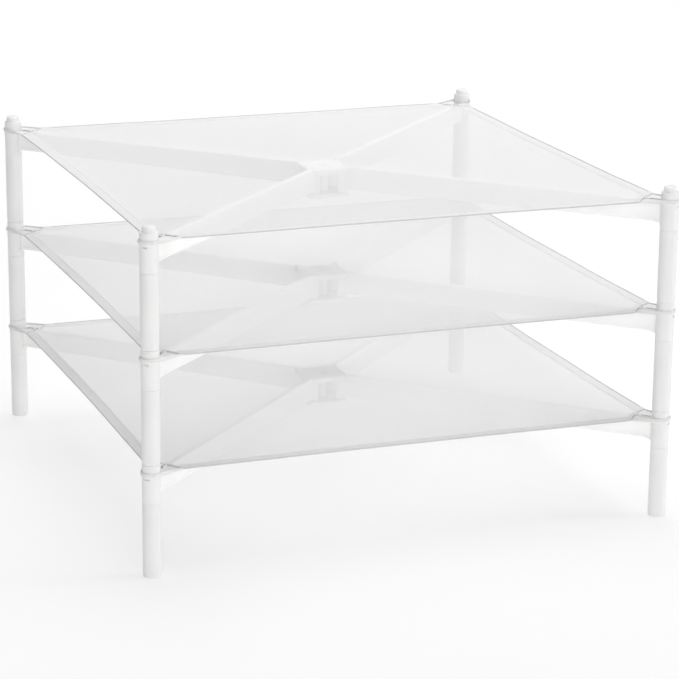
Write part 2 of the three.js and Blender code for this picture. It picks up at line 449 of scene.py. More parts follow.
def woven(nodes, pitch, share):
    """Two sets of crossing threads: how much thread there is at a point, and how high it stands."""
    split = nodes.add("ShaderNodeSeparateXYZ", {0: nodes.place()})
    covers, heights = [], []
    for axis in ("X", "Y"):
        turn = nodes.math("MULTIPLY", split.outputs[axis], math.pi / pitch)
        ridge = nodes.math("ABSOLUTE", nodes.math("COSINE", turn))
        edge, blur = math.cos(math.pi * share / 2), 0.12
        inputs = {"Value": ridge, "From Min": edge - blur, "From Max": edge + blur}
        cover = nodes.add("ShaderNodeMapRange", inputs, interpolation_type="SMOOTHSTEP")
        covers.append(cover.outputs["Result"])
        heights.append(ridge)
    return nodes.math("MAXIMUM", *covers), nodes.math("MAXIMUM", *heights)


def net_fabric(name, tone, thread_share, open_alpha, thread_alpha, passed=0.0, glow_share=0.0):
    """White woven threads, see-through between them.

    passed is the share of lamp light that goes on through the threads, and glow_share is how much of
    their look is light from behind.
    """
    nodes = Nodes(name)
    cover, height = woven(nodes, NET_PITCH, thread_share)
    slub = nodes.noise(240, 4.0, 0.6)
    light = tuple(min(1.0, c * 1.01) for c in tone)
    dull = tuple(c * 0.96 for c in tone)
    nodes.link(nodes.ramp(slub, [(0.3, dull), (0.7, light)]), nodes.shader.inputs["Base Color"])
    nodes.link(nodes.spread(slub, 0.7, 0.95), nodes.shader.inputs["Roughness"])
    nodes.link(nodes.bump(height, 0.5, 0.15 * MM), nodes.shader.inputs["Normal"])
    nodes.shader.inputs["Specular IOR Level"].default_value = 0.2
    nodes.shader.inputs["Sheen Weight"].default_value = 0.1
    nodes.shader.inputs["Sheen Roughness"].default_value = 0.5
    solid = nodes.spread(cover, open_alpha, thread_alpha)
    cloth = nodes.shader
    if glow_share:
        glow = nodes.add("ShaderNodeBsdfTranslucent", {"Color": (*tone, 1)})
        cloth = nodes.add("ShaderNodeMixShader", {0: glow_share, 1: cloth.outputs[0], 2: glow.outputs[0]})
    if passed:
        lamp_ray = nodes.add("ShaderNodeLightPath").outputs["Is Shadow Ray"]
        kept = nodes.math("MULTIPLY_ADD", lamp_ray, -passed, 1.0)
        solid = nodes.math("MULTIPLY", solid, kept)
    clear = nodes.add("ShaderNodeBsdfTransparent")
    whole = nodes.add("ShaderNodeMixShader", {0: solid, 1: clear.outputs[0], 2: cloth.outputs[0]})
    nodes.link(whole.outputs[0], nodes.output.inputs["Surface"])
    return nodes.material


# The moulding's tone is painted lighter than the tube's. This is painted light that makes up for the shade
# the arms and hub plates lie in under the nets.
plastic = moulded_plastic("white_moulding_painted_lighter", (0.94, 0.94, 0.935), 0.34, 0.5, 2600, 0.03 * MM)
tube_plastic = moulded_plastic("white_tube", (0.84, 0.84, 0.836), 0.26, 0.38, 1500, 0.012 * MM)
steel = bright_steel("plated_steel")
net = net_fabric("white_net", (0.80, 0.80, 0.80), 0.52, 0.08, 0.95, passed=0.6, glow_share=0.35)
hem_cloth = net_fabric("white_hem", (0.79, 0.79, 0.79), 0.6, 0.85, 1.0, passed=0.5)
# The piping cord is a real rolled edge with a darker tone: painted shade for the dark line under the hem's
# edge and for the dark slit in front of each post.
shade_painted_cord = net_fabric("painted_shade_piping", (0.6, 0.6, 0.6), 0.7, 1.0, 1.0)
thread = net_fabric("white_thread", (0.84, 0.84, 0.84), 0.8, 1.0, 1.0)


# ---------------------------------------------------------------- legs and arms

def leg_mesh():
    """A plain tube with eased ends and the fine rim line just above its foot."""
    outside, groove = POST_RADIUS, RIM_LINE_HEIGHT
    profile = rounded([
        (LEG_BORE_RADIUS, 0, 0.4 * MM),
        (outside - 0.25 * MM, 0, 0.6 * MM),
        (outside - 0.25 * MM, groove - 0.4 * MM, 0.15 * MM),
        (outside - 0.5 * MM, groove, 0.1 * MM),
        (outside, groove + 0.4 * MM, 0.2 * MM),
        (outside, LEG_TOP, 0.25 * MM),
        (LEG_BORE_RADIUS, LEG_TOP, 0.3 * MM),
    ], closed=True)
    base = mesh_object("leg", *turned(profile))
    return finished(base, "leg_tube", 50)


def head_part():
    """The post head of the arm: spigot, collar, seat and stud, hollow from below."""
    roof = SEAT - 6 * MM
    profile = rounded([
        (0, roof, 0),
        (CORE_RADIUS, roof, 0.6 * MM),
        (CORE_RADIUS, HEAD_LOW, 0.3 * MM),
        (SPIGOT_RADIUS, HEAD_LOW, 0.8 * MM),
        (SPIGOT_RADIUS, COLLAR_LOW, 0),
        (POST_RADIUS, COLLAR_LOW, 0.25 * MM),
        (POST_RADIUS, SEAT - 3.2 * MM, 0.2 * MM),
        (POST_RADIUS - 0.2 * MM, SEAT - 3.0 * MM, 0.2 * MM),
        (POST_RADIUS - 0.2 * MM, SEAT, 0.5 * MM),
        (STUD_RADIUS, SEAT, 0.4 * MM),
        (STUD_RADIUS, STUD_TOP - 1.5 * MM, 0.8 * MM),
        (STUD_RADIUS - 1.6 * MM, STUD_TOP, 1.2 * MM),
        (0, STUD_TOP, 0),
    ])
    return turned(profile)


def eased(t):
    """A soft step from 0 to 1."""
    t = min(1.0, max(0.0, t))
    return t * t * (3 - 2 * t)


def beam_ring(x):
    """The arm's section at x from the pin: a channel open below, with a rolled lip on each wall."""
    near_post = (x - (ARM_LENGTH - POST_RADIUS - SADDLE_LENGTH)) / SADDLE_LENGTH
    flare = max(0.0, min(1.0, near_post)) ** 2.2
    half = ARM_WIDTH / 2 + SADDLE_WIDTH / 2 * flare
    along = x / ARM_LENGTH
    low = ARM_HUB_BOTTOM + (ARM_POST_BOTTOM - ARM_HUB_BOTTOM) * along - SADDLE_DROP * flare
    top = ARM_TOP
    lip = half + ARM_LIP
    inner = half - ARM_WALL
    shoulder = low + ARM_LIP_HEIGHT
    corners = [
        (-lip, low, 0.4 * MM),
        (-lip, shoulder, 0.4 * MM),
        (-half, shoulder + ARM_LIP, 0.5 * MM),
        (-half, top, ARM_TOP_BEND),
        (half, top, ARM_TOP_BEND),
        (half, shoulder + ARM_LIP, 0.5 * MM),
        (lip, shoulder, 0.4 * MM),
        (lip, low, 0.4 * MM),
        (inner, low, 0.3 * MM),
        (inner, top - ARM_ROOF, 0.5 * MM),
        (-inner, top - ARM_ROOF, 0.5 * MM),
        (-inner, low, 0.3 * MM),
    ]
    return [(x, p.x, p.y) for p in rounded(corners, 3, closed=True)]


def arm_ribs(start, pitch):
    """Cross ribs inside the channel, each shorter than the last, as the channel is."""
    inner = ARM_WIDTH / 2 - ARM_WALL / 2
    ribs = []
    for index in range(RIB_COUNT + 1):
        x = start + index * pitch + (0 if index else 0.9 * MM)
        low = ARM_HUB_BOTTOM + RIB_RECESS + RIB_CLIMB * index / RIB_COUNT
        ribs.append(block((x - RIB_HALF_THICKNESS, -inner, low),
                          (x + RIB_HALF_THICKNESS, inner, ARM_TOP - ARM_ROOF / 2)))
    return merged(*ribs)


def catch_lip():
    """The small lip on the outside of the post head, under the catch slot."""
    outside = ARM_LENGTH + POST_RADIUS
    return block((outside - 2 * MM, -CATCH_LIP_HALF, CATCH_LIP_LOW),
                 (outside + 0.45 * MM, CATCH_LIP_HALF, CATCH_SLOT_LOW))


def catch_slot():
    """The cut for the catch slot."""
    outside = ARM_LENGTH + POST_RADIUS
    return block((outside - 1.3 * MM, -CATCH_SLOT_HALF, CATCH_SLOT_LOW),
                 (outside + 1 * MM, CATCH_SLOT_HALF, CATCH_SLOT_HIGH))


def dimple_cut():
    """The cut for a shallow round mark on top of the arm, near the hub."""
    profile = rounded([
        (0, -DIMPLE_DEPTH, 0), (2.2 * MM, -DIMPLE_DEPTH, 0.4 * MM),
        (2.6 * MM, CUT_SPARE, 0), (0, CUT_SPARE, 0),
    ])
    return moved(turned(profile, HOLE_STEPS), (NOTCH + DIMPLE_DISTANCE, 0, ARM_TOP))


def pocket_cut():
    """The cut for the open pocket in the arm's top, in front of the post."""
    end = ARM_LENGTH - POST_RADIUS - POCKET_GAP
    start, half = end - POCKET_LENGTH, POCKET_WIDTH / 2
    mouth = rounded([
        (start, -half, POCKET_BEND), (end, -half, POCKET_BEND),
        (end, half, POCKET_BEND), (start, half, POCKET_BEND),
    ], closed=True)
    heights = (ARM_TOP - ARM_ROOF - CUT_SPARE, ARM_TOP + CUT_SPARE)
    return lofted([[(p.x, p.y, height) for p in mouth] for height in heights])


def arm_mesh():
    """The arm moulding, with its pin on the Z axis and its post out along +X."""
    start, end = NOTCH, ARM_LENGTH - (POST_RADIUS + CORE_RADIUS) / 2
    saddle_start = ARM_LENGTH - POST_RADIUS - SADDLE_LENGTH
    places = [start + (saddle_start - start) * i / ARM_STATIONS for i in range(ARM_STATIONS)]
    places += [saddle_start + (end - saddle_start) * i / SADDLE_STATIONS
               for i in range(SADDLE_STATIONS + 1)]
    base = mesh_object("arm", *lofted([beam_ring(x) for x in places]))

    tongue_top, knuckle_low = COVER_LOW - 0.4 * MM, WINDOW_LOW + 0.3 * MM
    half = ARM_WIDTH / 2 - 0.2 * MM
    tongue = block((0, -half, ARM_HUB_BOTTOM), (NOTCH + 2 * MM, half, tongue_top))
    knuckle = turned(rounded([
        (0, knuckle_low, 0),
        (KNUCKLE_RADIUS, knuckle_low, 1.2 * MM),
        (KNUCKLE_RADIUS, tongue_top, 1.0 * MM),
        (0, tongue_top, 0),
    ]), KNUCKLE_STEPS)
    ribs = arm_ribs(start, (saddle_start - start) / (RIB_COUNT + 1))
    head = moved(head_part(), (ARM_LENGTH, 0, 0))
    for joined in (tongue, knuckle, head, ribs, catch_lip()):
        base = combined(base, joined, "UNION")

    pin_hole = turned([(0, BASE_LOW), (PIN_HOLE_RADIUS, BASE_LOW), (PIN_HOLE_RADIUS, 0), (0, 0)],
                      HOLE_STEPS)
    cuts = merged(pin_hole, dimple_cut(), catch_slot(), pocket_cut())
    base = combined(base, cuts, "DIFFERENCE")
    mesh = finished(base, "arm_moulding", 32)
    # The arm takes the moulding tone, painted lighter for the shade under the net. Its post head keeps the
    # tube's tone.
    mesh.materials.clear()
    mesh.materials.append(plastic)
    mesh.materials.append(tube_plastic)
    head_start = ARM_LENGTH - POST_RADIUS - 0.5 * MM
    for face in mesh.polygons:
        face.material_index = int(face.center.x > head_start)
    return mesh


# ---------------------------------------------------------------- hub

def ring_angles():
    """The even angles that every ring of the hub's plates has its points at."""
    return [math.tau * (step + 0.5) / HUB_RING_STEPS for step in range(HUB_RING_STEPS)]


def square_ring(half, radius, height):
    """A rounded square with its points at even angles, so that it lofts to a circle."""
    ring = []
    for angle in ring_angles():
        c, s = math.cos(angle), math.sin(angle)
        reach = half / max(abs(c), abs(s))
        x, y = reach * c, reach * s
        limit = half - radius
        if abs(x) > limit and abs(y) > limit:
            corner = Vector((math.copysign(limit, x), math.copysign(limit, y)))
            ahead = Vector((c, s))
            along = corner.dot(ahead)
            across = (corner - ahead * along).length
            reach = along + math.sqrt(max(0.0, radius * radius - across * across))
            x, y = reach * c, reach * s
        ring.append((x, y, height))
    return ring


def circle_ring(radius, height):
    """A circle with its points at the same angles as the rounded squares."""
    return [(radius * math.cos(a), radius * math.sin(a), height) for a in ring_angles()]


def plate_rings(low, high):
    """The outside of a hub plate, from its underside round the eased edge to the rim on top."""
    corner = HUB_CORNER_RADIUS
    rings = [square_ring(HUB_HALF - 3 * MM, corner - 3 * MM, low)]
    for step in range(HUB_EDGE_STEPS + 1):
        angle = math.pi / 2 * step / HUB_EDGE_STEPS
        inset = HUB_EDGE * (1 - math.sin(angle))
        height = low + HUB_EDGE * (1 - math.cos(angle))
        rings.append(square_ring(HUB_HALF - inset, corner - inset, height))
    for step in range(HUB_EDGE_STEPS + 1):
        angle = math.pi / 2 * step / HUB_EDGE_STEPS
        inset = HUB_EDGE * (1 - math.cos(angle))
        height = high - HUB_EDGE * (1 - math.sin(angle))
        rings.append(square_ring(HUB_HALF - inset, corner - inset, height))
    return rings


def pin_sockets(low, high):
    """The cuts for the four blind holes that hold the hinge pins."""
    socket = turned([(0, low), (PIN_HOLE_RADIUS, low), (PIN_HOLE_RADIUS, high), (0, high)],
                    HOLE_STEPS)
    places = [(x * PIN_OFFSET, y * PIN_OFFSET, 0) for x in (-1, 1) for y in (-1, 1)]
    return merged(*[moved(socket, place) for place in places])


def cover_mesh():
    """The hub's top plate: a shallow raised border, and the screw recess with its eased mouth."""
    dish, mouth = COVER_HIGH - 0.6 * MM, COVER_HIGH - 0.05 * MM
    recess_floor = COVER_HIGH - 3.6 * MM
    rings = [circle_ring(SCREW_HOLE_RADIUS, COVER_LOW)] + plate_rings(COVER_LOW, COVER_HIGH)
    rings.append(square_ring(HUB_HALF - 3.4 * MM, 4 * MM, COVER_HIGH))
    rings.append(square_ring(HUB_HALF - 4.0 * MM, 3.6 * MM, dish))
    rings += [circle_ring(radius, height) for radius, height in (
        (7.2 * MM, dish),
        (6.6 * MM, mouth),
        (4.2 * MM, mouth),
        (3.6 * MM, COVER_HIGH - 0.5 * MM),
        (3.5 * MM, recess_floor),
        (SCREW_HOLE_RADIUS, recess_floor),
    )]
    base = mesh_object("cover", *lofted(rings, closed_path=True))
    sockets = pin_sockets(COVER_LOW - 2 * MM, COVER_LOW + PIN_HOLE_DEPTH)
    return finished(combined(base, sockets, "DIFFERENCE"), "hub_cover")


def base_mesh():
    """The hub's bottom plate with the boss that takes the screw."""
    boss_top, hollow_top = COVER_LOW - 0.3 * MM, BASE_LOW + 2 * MM
    rings = [circle_ring(radius, height) for radius, height in (
        (3 * MM, hollow_top),
        (3.2 * MM, BASE_LOW + 0.2 * MM),
        (3.4 * MM, BASE_LOW),
    )]
    rings += plate_rings(BASE_LOW, WINDOW_LOW)
    rings += [circle_ring(radius, height) for radius, height in (
        (7.5 * MM, WINDOW_LOW),
        (6.2 * MM, WINDOW_LOW + 0.4 * MM),
        (5.6 * MM, WINDOW_LOW + 1.4 * MM),
        (5.3 * MM, boss_top - 0.5 * MM),
        (4.8 * MM, boss_top),
        (SCREW_HOLE_RADIUS, boss_top),
        (SCREW_HOLE_RADIUS, hollow_top),
    )]
    base = mesh_object("base", *lofted(rings, closed_path=True))
    sockets = pin_sockets(WINDOW_LOW - PIN_HOLE_DEPTH, WINDOW_LOW + 2 * MM)
    return finished(combined(base, sockets, "DIFFERENCE"), "hub_base")


def screw_mesh():
    """A pan-head screw with a cross recess and a coarse thread."""
    low, high = (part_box("tier1_hub_screw")[side][2] - SHEET for side in (0, 1))
    seat = high - 2 * MM
    core, crest = 1.15 * MM, 1.5 * MM
    shank = core + 0.1 * MM
    thread_pitch, flank = 1.1 * MM, 0.5 * MM
    profile = [(0, low), (0.4 * MM, low + 0.5 * MM)]
    height = low + 1.2 * MM
    while height < seat - 2 * MM:
        profile += [(core, height), (crest, height + flank)]
        height += thread_pitch
    profile += [(shank, height), (shank, seat)]
    head = rounded([
        (shank, seat, 0), (3.2 * MM, seat, 0.3 * MM), (3.1 * MM, high - 0.7 * MM, 0.8 * MM),
        (2.0 * MM, high, 0.9 * MM), (0, high, 0),
    ])
    base = mesh_object("screw", *turned(profile + [tuple(p) for p in head[1:]], 36))
    reach, half, depth = 1.7 * MM, 0.3 * MM, 1.1 * MM
    cross = []
    for turn in range(4):
        spin = Matrix.Rotation(turn * math.pi / 2, 2)
        cross += [spin @ Vector(p) for p in ((half, -half), (reach, -half), (reach, half))]
    heights = (high - depth, high + CUT_SPARE)
    recess = lofted([[(p.x, p.y, height) for p in cross] for height in heights])
    return finished(combined(base, recess, "DIFFERENCE"), "hub_screw", 30)


def pin_mesh():
    """A plain steel hinge pin with eased ends and a shallow centre mark in each."""
    low, high = (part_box("tier1_pivot_pin_back_right")[side] for side in (0, 1))
    radius = (high[0] - low[0]) / 2
    bottom, top = low[2] - SHEET, high[2] - SHEET
    mark = 0.35 * MM
    profile = rounded([
        (0, bottom + mark, 0), (radius * 0.4, bottom, 0.1 * MM), (radius, bottom, 0.5 * MM),
        (radius, top, 0.5 * MM), (radius * 0.4, top, 0.1 * MM), (0, top - mark, 0),
    ])
    return finished(mesh_object("pin", *turned(profile, 28)), "hinge_pin")


# ---------------------------------------------------------------- mesh sheets

def side_inset(along):
    """How far inside the line of post centres the sheet's edge runs, at a place along the side."""
    share = along / (POST_OFFSET - SHEET_CORNER_START)
    return SHEET_SIDE_INSET - (SHEET_SIDE_INSET - SHEET_CORNER_INSET) * share * share


def rise(x, y):
    """The sheet's height: a little lower between the arms than on them, creased near the posts."""
    off_arm = min(abs(x - y), abs(x + y)) / math.sqrt(2)
    to_post = (Vector((POST_OFFSET, POST_OFFSET)) - Vector((abs(x), abs(y)))).length
    height = NET_LEVEL - NET_SAG * eased(off_arm / (130 * MM))
    bearing = math.atan2(POST_OFFSET - abs(y), POST_OFFSET - abs(x))
    crease = math.sin(bearing * 26 + 3 * x / POST_OFFSET) * math.exp(-to_post / (70 * MM))
    wave = math.sin(x * 31 + 1.3) * math.sin(y * 27 - 0.4)
    settle = eased(to_post / (60 * MM))
    return height * settle + CREASE_HEIGHT * crease * settle + WAVE_HEIGHT * wave * settle


def lifted(x, y, height=0.0):
    """A plan point, put at a height above the sheet."""
    return Vector((x, y, rise(x, y) + height))


def quarter_outline(extra, corner_extra):
    """A quarter of the sheet's outline, offset inwards: the side at +X, then the back right corner."""
    reach = POST_OFFSET - SHEET_CORNER_START + extra - corner_extra * math.sqrt(2)
    points = []
    for step in range(SIDE_STEPS):
        y = -reach + 2 * reach * step / SIDE_STEPS
        points.append(Vector((POST_OFFSET - side_inset(y) - extra, y)))
    start = Vector((POST_OFFSET - side_inset(reach) - extra, reach))
    end = Vector((start.y, start.x))
    hollow = (start + end) / 2 - Vector((1, 1)).normalized() * SHEET_CORNER_HOLLOW * 2
    for step in range(CORNER_STEPS):
        t = step / CORNER_STEPS
        points.append(start * (1 - t) ** 2 + hollow * 2 * t * (1 - t) + end * t * t)
    return points


def outline(extra=0.0, corner_extra=0.0):
    """The whole outline of the sheet in plan, offset inwards by so much at its sides and corners."""
    quarter = quarter_outline(extra, corner_extra)
    points = []
    for turn in range(4):
        spin = Matrix.Rotation(turn * math.pi / 2, 2)
        points += [spin @ p for p in quarter]
    return points


def net_part():
    """The net itself: one layer, filled in between the middle of the hems."""
    border = outline(HEM_WIDTH * 0.4, CORNER_HEM_WIDTH * 0.6)
    count = len(border)
    reach = POST_OFFSET - SHEET_SIDE_INSET - HEM_WIDTH * 0.4
    steps = int(reach / NET_SPACING)
    points = list(border)
    limit = reach - NET_SPACING * 0.6
    corner = 2 * POST_OFFSET - SHEET_CORNER_START - SHEET_CORNER_INSET - 3 * CORNER_HEM_WIDTH
    for i in range(-steps, steps + 1):
        for j in range(-steps, steps + 1):
            x, y = i * NET_SPACING, j * NET_SPACING
            if max(abs(x), abs(y)) < limit and abs(x) + abs(y) < corner:
                points.append(Vector((x, y)))
    edges = [(index, (index + 1) % count) for index in range(count)]
    found = delaunay_2d_cdt(points, edges, [], 1, 1e-6)
    return [lifted(p.x, p.y) for p in found[0]], [list(face) for face in found[2]]


def hem_part():
    """The folded hem, a flat double layer with a rolled outer edge, all the way round the sheet."""
    outer, inner = outline(), outline(HEM_WIDTH, CORNER_HEM_WIDTH)
    thick = HEM_THICKNESS / 2
    rings = []
    for out, into in zip(outer, inner):
        across = into - out
        width = across.length
        unit = across / width
        section = [(PIPING_RADIUS, thick * 0.8), (PIPING_RADIUS, -thick * 0.8)]
        section += [(width * share, -thick) for share in (0.2, 0.45, 0.7, 0.88)]
        section += [(width, -thick * 0.3), (width, thick * 0.3)]
        section += [(width * share, thick) for share in (0.88, 0.7, 0.45, 0.2)]
        ring = []
        for depth, height in section:
            place = out + unit * depth
            ring.append(lifted(place.x, place.y, height))
        rings.append(ring)
    return lofted(rings, closed_path=True)


def cord_part(path, radius, closed, height):
    """A round cord lying along a line of plan points on the sheet."""
    rings = []
    last = len(path) - 1
    for index, point in enumerate(path):
        before = path[index - 1] if closed or index else point
        after = path[(index + 1) % len(path)] if closed or index < last else point
        along = (after - before).normalized()
        across = Vector((along.y, -along.x, 0))
        middle = lifted(point.x, point.y, height)
        size = radius if closed or 0 < index < last else radius * 0.5
        ring = []
        for step in range(CORD_SIDES):
            angle = math.tau * step / CORD_SIDES
            outward = across * math.cos(angle) + Vector((0, 0, 1)) * math.sin(angle)
            ring.append(middle + outward * size)
        rings.append(ring)
    return lofted(rings, closed_path=closed)


def polar(radius, angle):
    """The plan point at a distance and an angle from the origin."""
    return Vector((radius * math.cos(angle), radius * math.sin(angle)))


def strap_path():
    """The middle line of a corner loop in its own frame: the post at the origin, the sheet along -X.

    Its point 2 is the neck, where it leaves the hem, and its point 6 is where it touches the post.
    """
    wrap = POST_RADIUS + STRAP_GAP + STRAP_THICKNESS / 2
    ahead = SHEET_CORNER_START + STRAP_TAIL
    aside = side_inset(POST_OFFSET - ahead) + 2.4 * MM
    end = Vector((-(ahead + aside), ahead - aside)) / math.sqrt(2)
    ahead, aside = SHEET_CORNER_START + 1 * MM, SHEET_CORNER_INSET + 1.6 * MM
    neck = Vector((-(ahead + aside), ahead - aside)) / math.sqrt(2)
    meet = math.atan2(neck.y, neck.x) - math.acos(wrap / neck.length)
    touch = polar(wrap, meet)
    half = [end, (end + neck) / 2]
    half += [neck.lerp(touch, share) for share in (0.0, 0.25, 0.5, 0.75)]
    half += [polar(wrap, meet * (1 - i / STRAP_ARC_STEPS)) for i in range(STRAP_ARC_STEPS)]
    other = [Vector((p.x, -p.y)) for p in reversed(half)]
    return half + [Vector((wrap, 0))] + other


def corner_place(turn, point):
    """A plan point of a corner's own frame, put on the sheet."""
    return Matrix.Rotation(turn, 2) @ (Vector(point) + Vector((POST_OFFSET * math.sqrt(2), 0)))


def gusset_part(turn, side):
    """The cloth between a corner loop and the slit in front of the post, on one side of the slit."""
    path = strap_path()
    neck, touch = path[2], path[6]
    clear = POST_RADIUS + 0.7 * MM
    first = math.atan2(touch.y, touch.x) + math.radians(24)
    last = math.pi - math.asin(SLIT_HALF_WIDTH / clear)
    near = [polar(clear, first + (last - first) * i / GUSSET_ROUND_STEPS)
            for i in range(GUSSET_ROUND_STEPS + 1)]
    slit_start, slit_end = near[-1].x, -SLIT_LENGTH - 3.5 * MM
    near += [Vector((slit_start + (slit_end - slit_start) * i / GUSSET_SIDE_STEPS, SLIT_HALF_WIDTH))
             for i in range(1, GUSSET_SIDE_STEPS + 1)]
    rings = []
    for index, edge in enumerate(near):
        far = touch.lerp(neck, 0.12 + 0.88 * index / (len(near) - 1))
        top, bottom = [], []
        for step in range(GUSSET_ACROSS_STEPS + 1):
            share = step / GUSSET_ACROSS_STEPS
            flat = edge.lerp(far, share)
            place = corner_place(turn, (flat.x, flat.y * side))
            ripple = 0.25 * MM * math.sin(index * 1.1) * share * (1 - share)
            drape = -0.3 * MM - 0.45 * MM * (1 - share) ** 2 + ripple
            top.append(lifted(place.x, place.y, drape + GUSSET_HALF_THICKNESS))
            bottom.append(lifted(place.x, place.y, drape - GUSSET_HALF_THICKNESS))
        rings.append(top + bottom[::-1])
    return lofted(rings)


def slit_line(turn):
    """The edge of a corner's slit: out from the post on one side, round its end and back."""
    start = -math.sqrt((POST_RADIUS + 1.2 * MM) ** 2 - SLIT_HALF_WIDTH ** 2)
    side = [Vector((start + (-SLIT_LENGTH - start) * i / SLIT_STEPS, SLIT_HALF_WIDTH))
            for i in range(SLIT_STEPS + 1)]
    bend = []
    for i in range(1, SLIT_STEPS):
        angle = math.pi * i / SLIT_STEPS
        bend.append(Vector((-SLIT_LENGTH - SLIT_HALF_WIDTH * math.sin(angle),
                            SLIT_HALF_WIDTH * math.cos(angle))))
    other = [Vector((p.x, -p.y)) for p in reversed(side)]
    return [corner_place(turn, p) for p in side + bend + other]


def eyelet_line(turn):
    """The ring of thread round the eyelet at the inner end of a corner's slit."""
    line = []
    for step in range(EYELET_STEPS):
        angle = math.tau * step / EYELET_STEPS
        line.append(corner_place(turn, (-SLIT_LENGTH + EYELET_RADIUS * math.cos(angle),
                                        EYELET_RADIUS * math.sin(angle))))
    return line


def strap_part(turn):
    """A corner loop: a narrow strap that lies flat at the sheet and stands on edge round the post."""
    path = strap_path()
    post = corner_place(turn, (0, 0))
    spin = Matrix.Rotation(turn, 2)
    rings = []
    last = len(path) - 1
    for index, point in enumerate(path):
        before, after = path[max(0, index - 1)], path[min(last, index + 1)]
        along = (after - before).normalized()
        side = Vector((along.y, -along.x))
        from_end = min(index, last - index)
        stand = eased((from_end - 1) / 5)
        tilt = stand * math.pi / 2
        width = STRAP_HEIGHT / 2 * (0.75 + 0.25 * stand)
        thick = STRAP_THICKNESS / 2
        place = spin @ point + post
        level = rise(place.x, place.y) * (1 - stand) + 0.4 * MM * (1 - stand)
        wide = spin @ side
        ring = []
        for step in range(STRAP_SIDES):
            angle = math.tau * step / STRAP_SIDES
            a, b = width * math.cos(angle), thick * math.sin(angle)
            a = math.copysign(abs(a / width) ** 0.6 * width, a)
            across = a * math.cos(tilt) + b * math.sin(tilt)
            up = a * math.sin(tilt) - b * math.cos(tilt)
            ring.append(Vector((place.x + wide.x * across, place.y + wide.y * across, level + up)))
        rings.append(ring)
    return lofted(rings)


def stitch_part(place, along, height):
    """One short stitch: a spindle of thread lying on the cloth."""
    side = Vector((along.y, -along.x, 0))
    ahead = Vector((along.x, along.y, 0))
    rings = []
    for share, swell in ((-0.5, 0.35), (-0.36, 0.9), (0.0, 1.0), (0.36, 0.9), (0.5, 0.35)):
        middle = lifted(place.x, place.y, height) + ahead * STITCH_LENGTH * share
        sink = Vector((0, 0, -0.12 * MM * (1 - swell)))
        ring = []
        for step in range(STITCH_SIDES):
            angle = math.tau * step / STITCH_SIDES
            offset = side * math.cos(angle) + Vector((0, 0, 1)) * math.sin(angle)
            ring.append(middle + sink + offset * STITCH_RADIUS * swell)
        rings.append(ring)
    return lofted(rings)


def stitches_part():
    """A row of stitches along the inner edge of the hem and round each corner, top side."""
    line = outline(HEM_WIDTH - 3 * MM, CORNER_HEM_WIDTH - 2 * MM)
    height = HEM_THICKNESS / 2 + STITCH_RADIUS * 0.5
    parts = []
    spare = 0.0
    for here, there in zip(line, line[1:] + line[:1]):
        span = (there - here).length
        along = (there - here).normalized()
        while spare < span:
            parts.append(stitch_part(here + along * spare, along, height))
            spare += STITCH_PITCH
        spare -= span
    return merged(*parts)


def sheet_pieces(tier, parts):
    """One tier's sheet: the net, its hem with loops and gussets, its piping and its stitching."""
    body = f"{tier}_hub"
    anchor = (0, 0, sheet_height(tier))
    net_piece = mesh_object(f"{tier}_net_sheet", *moved(parts["net"], anchor), net, 180)
    hem_piece = mesh_object(f"{tier}_hem_and_loops", *moved(parts["hem"], anchor), hem_cloth, 60)
    piping_piece = mesh_object(f"{tier}_edge_piping", *moved(parts["piping"], anchor),
                               shade_painted_cord, 60)
    sewing = mesh_object(f"{tier}_hem_stitching", *moved(parts["stitches"], anchor), thread, 180)
    for piece in (net_piece, hem_piece, piping_piece, sewing):
        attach(piece, body)
        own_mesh(piece)
    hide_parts(f"{tier}_mesh_panel")
    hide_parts(*[f"{tier}_mesh_loop_{corner}" for corner in CORNERS])


# ---------------------------------------------------------------- building the rack

def placed(name, mesh, material, body, node, matrix):
    """A piece that shares its mesh with its likes. The mesh takes the material if it has none."""
    piece = bpy.data.objects.new(name, mesh)
    bpy.context.scene.collection.objects.link(piece)
    if not mesh.materials:
        mesh.materials.append(material)
    piece.matrix_world = matrix
    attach(piece, body)
    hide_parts(node)


def sheet_parts():
    """The shapes of a sheet, the same for each tier, with the sheet level at height 0."""
    corner_turns = [math.pi / 4 + turn * math.pi / 2 for turn in range(4)]
    loops = [strap_part(turn) for turn in corner_turns]
    gussets = [gusset_part(turn, side) for turn in corner_turns for side in (1, -1)]
    edge = outline(PIPING_RADIUS * 0.9, PIPING_RADIUS * 0.9)
    # The edge piping and the slit bindings use the darker cord. This is painted shade for the dark edge
    # line and the dark slot.
    piping = cord_part(edge, PIPING_RADIUS, closed=True, height=0.4 * MM)
    slits = [cord_part(slit_line(turn), PIPING_RADIUS * 0.8, closed=False, height=-0.6 * MM)
             for turn in corner_turns]
    eyelets = [cord_part(eyelet_line(turn), EYELET_BEAD, closed=True, height=0.3 * MM)
               for turn in corner_turns]
    return {
        "net": net_part(),
        "hem": merged(hem_part(), *loops, *gussets),
        "piping": merged(piping, *slits),
        "stitches": merged(stitches_part(), *eyelets),
    }


